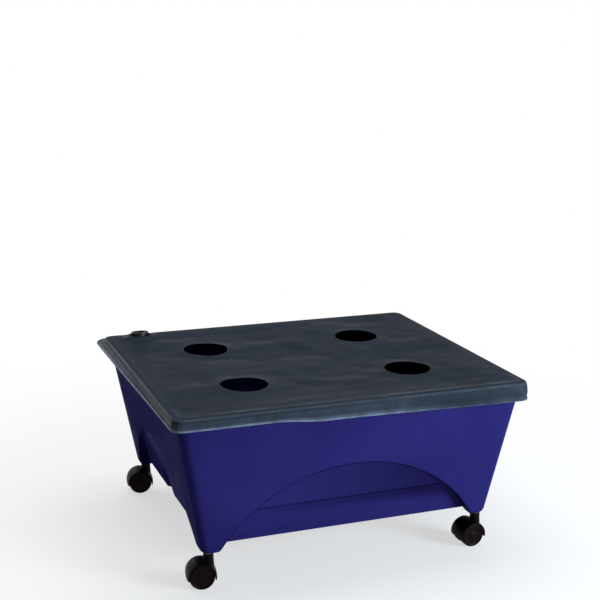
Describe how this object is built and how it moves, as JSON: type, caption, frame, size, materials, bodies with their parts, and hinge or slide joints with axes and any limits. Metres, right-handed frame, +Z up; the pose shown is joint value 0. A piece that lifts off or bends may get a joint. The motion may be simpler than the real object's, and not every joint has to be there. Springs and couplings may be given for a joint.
{
  "type": "self-watering raised bed planter",
  "caption": "Tapered planter tub on arched legs with casters, a water reservoir under a perforated screen, a fill tube and a stretched film cover.",
  "frame": {"origin": "on the floor, under the middle of the planter", "axes": "+X along the long side, -Y towards the front, +Z up"},
  "size_m": [0.6234, 0.5214, 0.3129],
  "materials": {
    "moulded_tub": "satin moulded polypropylene, deep blue",
    "black_screen": "matte moulded polypropylene",
    "cover_film": "glossy flexible film",
    "hem_elastic": "covered elastic cord",
    "tube_plastic": "satin extruded tube",
    "caster_nylon": "satin moulded nylon",
    "caster_tread": "satin moulded nylon tread",
    "zinc_steel": "zinc-plated steel",
    "spring_steel": "spring steel"
  },
  "bodies": {
    "tub": {"planter_box": "moulded_tub", "aeration_screen": "black_screen", "wicking_cup_front_left": "black_screen", "caster_stem_front_left": "zinc_steel", "caster_grip_ring_front_left": "spring_steel", "wicking_cup_front_right": "black_screen", "caster_stem_front_right": "zinc_steel", "caster_grip_ring_front_right": "spring_steel", "wicking_cup_back_left": "black_screen", "caster_stem_back_left": "zinc_steel", "caster_grip_ring_back_left": "spring_steel", "wicking_cup_back_right": "black_screen", "caster_stem_back_right": "zinc_steel", "caster_grip_ring_back_right": "spring_steel"},
    "cover": {"mulch_cover": "cover_film", "hem_elastic": "hem_elastic"},
    "tube": {"fill_tube": "tube_plastic"},
    "caster_front_left": {"caster_housing_front_left": "caster_nylon", "caster_axle_front_left": "zinc_steel"},
    "wheel_left_front_left": {"caster_wheel_left_front_left": "caster_tread"},
    "wheel_right_front_left": {"caster_wheel_right_front_left": "caster_tread"},
    "caster_front_right": {"caster_housing_front_right": "caster_nylon", "caster_axle_front_right": "zinc_steel"},
    "wheel_left_front_right": {"caster_wheel_left_front_right": "caster_tread"},
    "wheel_right_front_right": {"caster_wheel_right_front_right": "caster_tread"},
    "caster_back_left": {"caster_housing_back_left": "caster_nylon", "caster_axle_back_left": "zinc_steel"},
    "wheel_left_back_left": {"caster_wheel_left_back_left": "caster_tread"},
    "wheel_right_back_left": {"caster_wheel_right_back_left": "caster_tread"},
    "caster_back_right": {"caster_housing_back_right": "caster_nylon", "caster_axle_back_right": "zinc_steel"},
    "wheel_left_back_right": {"caster_wheel_left_back_right": "caster_tread"},
    "wheel_right_back_right": {"caster_wheel_right_back_right": "caster_tread"}
  },
  "joints": [
    {"name": "cover_lift", "type": "slide", "parent": "tub", "child": "cover", "axis": [0, 0, 1], "range_m": [0, 0.08]},
    {"name": "fill_tube_lift", "type": "slide", "parent": "tub", "child": "tube", "axis": [0, 0.119, 0.9929], "range_m": [0, 0.32]},
    {"name": "caster_front_left_swivel", "type": "hinge", "parent": "tub", "child": "caster_front_left", "pos_m": [-0.2425, -0.2095, 0.058], "axis": [0, 0, 1], "continuous": true},
    {"name": "wheel_left_front_left_spin", "type": "hinge", "parent": "caster_front_left", "child": "wheel_left_front_left", "pos_m": [-0.25438, -0.20783, 0.021], "axis": [0.1392, 0.9903, 0], "continuous": true},
    {"name": "wheel_right_front_left_spin", "type": "hinge", "parent": "caster_front_left", "child": "wheel_right_front_left", "pos_m": [-0.25438, -0.20783, 0.021], "axis": [0.1392, 0.9903, 0], "continuous": true},
    {"name": "caster_front_right_swivel", "type": "hinge", "parent": "tub", "child": "caster_front_right", "pos_m": [0.2425, -0.2095, 0.058], "axis": [0, 0, 1], "continuous": true},
    {"name": "wheel_left_front_right_spin", "type": "hinge", "parent": "caster_front_right", "child": "wheel_left_front_right", "pos_m": [0.23053, -0.21034, 0.021], "axis": [-0.0698, 0.9976, 0], "continuous": true},
    {"name": "wheel_right_front_right_spin", "type": "hinge", "parent": "caster_front_right", "child": "wheel_right_front_right", "pos_m": [0.23053, -0.21034, 0.021], "axis": [-0.0698, 0.9976, 0], "continuous": true},
    {"name": "caster_back_left_swivel", "type": "hinge", "parent": "tub", "child": "caster_back_left", "pos_m": [-0.2425, 0.2095, 0.058], "axis": [0, 0, 1], "continuous": true},
    {"name": "wheel_left_back_left_spin", "type": "hinge", "parent": "caster_back_left", "child": "wheel_left_back_left", "pos_m": [-0.25438, 0.21117, 0.021], "axis": [0.1392, 0.9903, 0], "continuous": true},
    {"name": "wheel_right_back_left_spin", "type": "hinge", "parent": "caster_back_left", "child": "wheel_right_back_left", "pos_m": [-0.25438, 0.21117, 0.021], "axis": [0.1392, 0.9903, 0], "continuous": true},
    {"name": "caster_back_right_swivel", "type": "hinge", "parent": "tub", "child": "caster_back_right", "pos_m": [0.2425, 0.2095, 0.058], "axis": [0, 0, 1], "continuous": true},
    {"name": "wheel_left_back_right_spin", "type": "hinge", "parent": "caster_back_right", "child": "wheel_left_back_right", "pos_m": [0.23211, 0.2155, 0.021], "axis": [0.5, 0.866, 0], "continuous": true},
    {"name": "wheel_right_back_right_spin", "type": "hinge", "parent": "caster_back_right", "child": "wheel_right_back_right", "pos_m": [0.23211, 0.2155, 0.021], "axis": [0.5, 0.866, 0], "continuous": true}
  ]
}
